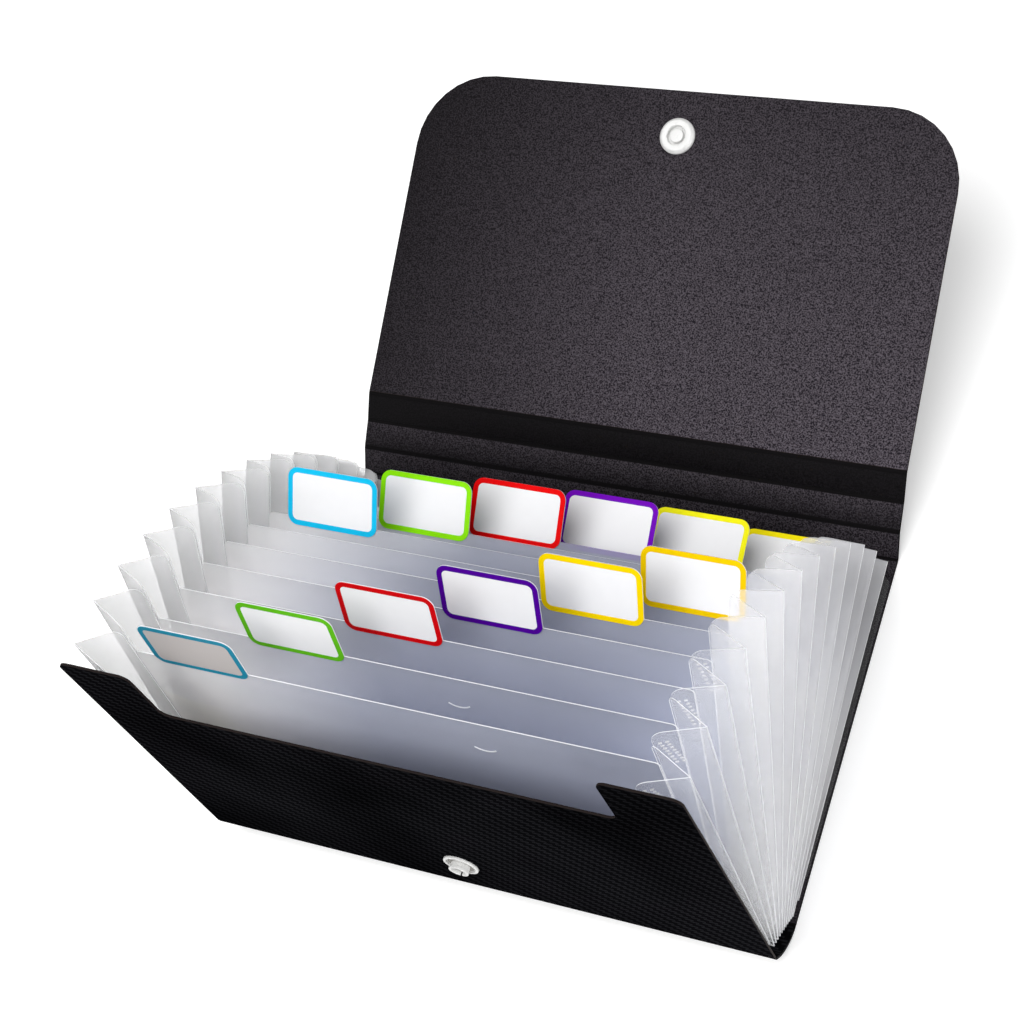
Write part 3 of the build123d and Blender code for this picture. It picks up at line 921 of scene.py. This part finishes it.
class FOLDER_OT_labels(Operator):
    """Build the twelve bordered label cards"""
    bl_idname = "folder.labels"
    bl_label = "Labels"

    def execute(self, context):
        labels = context.scene.folder_labels
        insert = context.scene.folder_insert
        paper = {"roughness": 0.5, "specular": 0.2, "scale": 300, "spread": 0.01}
        white = plain_material("label_white", labels.white, **paper)
        # The first label's middle is painted shade, a darker copy of the white
        first = plain_material("label_first", labels.first_white_painted_shade, **paper)
        colours = [f"{row}_{place + 1}" for row in ("front", "back") for place in range(POCKETS // 2)]
        lift = Matrix.Translation((0, 0, insert.divider_sheet / 2 + labels.card / 2))
        for number, colour in zip(range(1, POCKETS), colours):
            low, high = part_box(f"label_{number:02d}")
            foot, top = label_span(number)
            border = plain_material(f"label_{colour}", tuple(getattr(labels, colour)), roughness=0.5,
                                    specular=0.05, scale=300)
            points = ((low.x, foot), (high.x, foot), (high.x, top), (low.x, top))
            bm = rounded_sheet([(x, y, labels.corner) for x, y in points], labels.card)
            face = max(bm.faces, key=lambda item: item.calc_center_median().z)
            for other in bm.faces:
                other.material_index = BORDER
            bmesh.ops.inset_region(bm, faces=[face], thickness=labels.border, use_even_offset=True)
            bmesh.ops.inset_region(bm, faces=[face], thickness=labels.recess, depth=-labels.recess,
                                   use_even_offset=True)
            face.material_index = MIDDLE
            piece = add_piece(bm, f"card_label_{number:02d}", [first if number == 1 else white, border],
                              fan_matrix(number) @ lift)
            mount(piece, f"divider_{number:02d}", f"label_{number:02d}")
        return {"FINISHED"}


class FOLDER_OT_snap(Operator):
    """Build the press snap's two halves by spinning their profiles"""
    bl_idname = "folder.snap"
    bl_label = "Snap"

    def revolve(self, bm, snap, profile, start=0.0, angle=2 * pi):
        """Turns a profile of radius and height about the snap's axis and rounds its edges."""
        spoke = Vector((cos(start), sin(start), 0))
        verts = [bm.verts.new(spoke * radius + Vector((0, 0, height))) for radius, height in profile]
        edges = [bm.edges.new(pair) for pair in zip(verts, verts[1:])]
        whole = angle > 2 * pi - TINY
        old = set(bm.edges) - set(edges)
        spin(bm, [*verts, *edges], (0, 0, 0), (0, 0, 1), angle, snap.steps, whole)
        bmesh.ops.remove_doubles(bm, verts=bm.verts[:], dist=TINY)
        bmesh.ops.holes_fill(bm, edges=[edge for edge in bm.edges if edge.is_boundary])
        turn_outwards(bm)
        sharp = [edge for edge in bm.edges if edge not in old and edge.calc_face_angle(0) > CORNER]
        bevel(bm, sharp, "EDGES", snap.rounding, segments=3, clamp=True)

    def finish(self, bm, name, body, node, place, *materials):
        """Makes a snap piece and mounts it."""
        for face in bm.faces:
            face.smooth = True
        mount(add_piece(bm, name, materials, place), body, node)

    def execute(self, context):
        snap = context.scene.folder_snap
        cover = context.scene.folder_cover
        plastic = plain_material("snap_plastic", snap.plastic, roughness=0.32, specular=0.5, scale=500)
        # Darker plastic for the painted shade in the stud's recesses
        recess = plain_material("snap_recess", snap.recess, roughness=0.5, specular=0.3, scale=500)
        flap = leaf_matrix(FLAP_CREASE, cover.flap_angle)
        front = leaf_matrix(FRONT_CREASE, cover.front_angle)
        socket_at = (flap.inverted() @ centre_of("flap_snap_socket")).y
        stud_at = (front.inverted() @ centre_of("front_snap_stud")).y
        over, turned = Matrix.Translation((0, 0, SHEET / 2)), Matrix.Rotation(pi, 4, "X")
        flap_at = flap @ Matrix.Translation((0, socket_at, 0))
        front_at = front @ Matrix.Translation((0, stud_at, 0))
        bm = bmesh.new()
        high, floor = snap.socket_height, snap.socket_height - snap.ring_depth
        boss, wide = high - snap.boss_drop, snap.socket_radius
        crown = wide * 0.85
        self.revolve(bm, snap, [(0, 0), (wide, 0), (wide, high / 2), (crown, high), (snap.ring_outer, high),
                                (snap.ring_outer, floor), (snap.ring_inner, floor), (snap.ring_inner, boss),
                                (0, boss)])
        self.finish(bm, "snap_socket", "flap", "flap_snap_socket", flap_at @ over, plastic)
        for name, body, node, height, place in (
                ("snap_flap_cap", "flap", "flap_snap_cap", snap.cap_height, flap_at),
                ("snap_front_cap", "front", "front_snap_cap", snap.front_cap_height, front_at)):
            bm = bmesh.new()
            wide, shoulder = snap.cap_radius, (snap.cap_radius * 0.6, height * 0.85)
            self.revolve(bm, snap, [(0, 0), (wide, 0), (wide, height / 3), shoulder, (0, height)])
            self.finish(bm, name, body, node, place @ turned @ over, plastic)
        bm = bmesh.new()
        wide, high, floor = snap.flange_radius, snap.flange_height, snap.flange_floor
        rim = wide - snap.flange_rim
        self.revolve(bm, snap, [(0, 0), (wide, 0), (wide, high), (rim, high), (rim, floor), (0, floor)])
        gap = asin(snap.post_slot / 2 / snap.post_radius)
        foot, top = floor / 2, snap.post_height
        hollow, neck, head, waist = snap.post_hollow, snap.post_neck, snap.post_radius, (high + top) / 2
        self.revolve(bm, snap, [(hollow, foot), (neck, foot), (neck, waist), (head, waist), (head, top),
                                (hollow, top), (hollow, foot)], gap - pi / 2, 2 * (pi - gap))
        # Painted shade: the floors of the stud's groove and hollow get the darker material
        for face in bm.faces:
            low = max(vert.co.z for vert in face.verts) < floor + TINY
            face.material_index = SHADED_RECESS if low and face.normal.z > FLAT else PLASTIC
        self.finish(bm, "snap_stud", "front", "front_snap_stud", front_at @ over, plastic, recess)
        return {"FINISHED"}


class FOLDER_OT_stage(Operator):
    """Build the floor, the soft light and the camera"""
    bl_idname = "folder.stage"
    bl_label = "Stage"

    def seen(self, tree):
        """One for rays that show a thing to the camera, nothing for rays that only light."""
        path = tree.nodes.new("ShaderNodeLightPath")
        mirrored = add_math(tree, "MAXIMUM", path.outputs["Is Camera Ray"], path.outputs["Is Glossy Ray"])
        return add_math(tree, "MAXIMUM", mirrored, path.outputs["Is Transmission Ray"])

    def floor(self, stage):
        """A pale floor that fades to white far from the folder."""
        bm = bmesh.new()
        bmesh.ops.create_grid(bm, x_segments=4, y_segments=4, size=FLOOR_HALF)
        material, tree, shader = new_material("floor", stage.floor, roughness=0.9, specular=0.1)
        shader.inputs["Emission Color"].default_value = (1, 1, 1, 1)
        place = tree.nodes.new("ShaderNodeTexCoord")
        away = tree.nodes.new("ShaderNodeVectorMath")
        away.operation = "LENGTH"
        tree.links.new(place.outputs["Object"], away.inputs[0])
        lift = add_range(tree, away.outputs["Value"], stage.floor_lift, 1.0, stage.fade_start, stage.fade_end)
        tree.links.new(add_math(tree, "MULTIPLY", self.seen(tree), lift), shader.inputs["Emission Strength"])
        add_piece(bm, "floor", [material], Matrix.Translation((0, 0, -FLOOR_DROP)))

    def surround(self, stage):
        """An even light around the folder, white where it is seen."""
        world = bpy.data.worlds.new("surround")
        bpy.context.scene.world = world
        world.use_nodes = True
        tree = world.node_tree
        background = tree.nodes["Background"]
        background.inputs["Color"].default_value = (1, 1, 1, 1)
        gain = add_math(tree, "MULTIPLY", self.seen(tree), 1.0 - stage.world)
        tree.links.new(add_math(tree, "ADD", gain, stage.world), background.inputs["Strength"])

    def lamp(self, name, place, size, strength):
        """A round soft light aimed at the folder."""
        light = bpy.data.lights.new(name, "AREA")
        light.shape = "DISK"
        light.size = size
        light.energy = strength
        lamp = bpy.data.objects.new(name, light)
        bpy.context.scene.collection.objects.link(lamp)
        lamp.location = place
        lamp.rotation_euler = (-Vector(place)).to_track_quat("-Z", "Y").to_euler()

    def camera(self):
        """The camera at its place."""
        data = bpy.data.cameras.new("camera")
        data.lens = CAMERA_LENS
        camera = bpy.data.objects.new("camera", data)
        bpy.context.scene.collection.objects.link(camera)
        turned = Matrix((CAMERA_RIGHT, CAMERA_UP, CAMERA_RIGHT.cross(CAMERA_UP))).transposed().to_4x4()
        camera.matrix_world = Matrix.Translation(CAMERA_PLACE * MM) @ turned
        bpy.context.scene.camera = camera

    def execute(self, context):
        stage = context.scene.folder_stage
        self.floor(stage)
        self.surround(stage)
        self.lamp("key", KEY_PLACE, KEY_SIZE, stage.key_power)
        self.lamp("right", RIGHT_PLACE, RIGHT_SIZE, stage.fill_power)
        self.lamp("left", LEFT_PLACE, LEFT_SIZE, stage.left_power)
        self.camera()
        context.scene.view_settings.view_transform = "Standard"
        context.scene.cycles.transparent_max_bounces = FILM_LAYERS
        return {"FINISHED"}


class FOLDER_PT_sidebar(Panel):
    """Lists the folder's pieces and their sizes"""
    bl_label = "File folder"
    bl_idname = "FOLDER_PT_sidebar"
    bl_space_type = "VIEW_3D"
    bl_region_type = "UI"
    bl_category = "Folder"

    def draw(self, context):
        """Shows a button for each operator and a box for each group of values."""
        for operator in OPERATORS:
            self.layout.operator(operator.bl_idname)
        for name in GROUPS:
            box = self.layout.box()
            group = getattr(context.scene, name)
            for key in group.bl_rna.properties.keys():
                if key not in ("rna_type", "name"):
                    box.prop(group, key)


GROUPS = {
    "folder_cover": FolderCover,
    "folder_insert": FolderInsert,
    "folder_labels": FolderLabels,
    "folder_snap": FolderSnap,
    "folder_stage": FolderStage,
}
OPERATORS = (FOLDER_OT_cover, FOLDER_OT_creases, FOLDER_OT_insert, FOLDER_OT_dividers, FOLDER_OT_pleats,
             FOLDER_OT_labels, FOLDER_OT_snap, FOLDER_OT_stage)
CLASSES = (*GROUPS.values(), *OPERATORS, FOLDER_PT_sidebar)


def register():
    """Adds the classes and their values to the scene."""
    for item in CLASSES:
        bpy.utils.register_class(item)
    for name, group in GROUPS.items():
        setattr(bpy.types.Scene, name, PointerProperty(type=group))


def unregister():
    """Takes the values and the classes away again."""
    for name in GROUPS:
        delattr(bpy.types.Scene, name)
    for item in reversed(CLASSES):
        bpy.utils.unregister_class(item)


def main():
    """Builds every piece in order."""
    register()
    bpy.ops.folder.cover()
    bpy.ops.folder.creases()
    bpy.ops.folder.insert()
    bpy.ops.folder.dividers()
    bpy.ops.folder.pleats()
    bpy.ops.folder.labels()
    bpy.ops.folder.snap()
    bpy.ops.folder.stage()


if __name__ == "__main__":
    main()
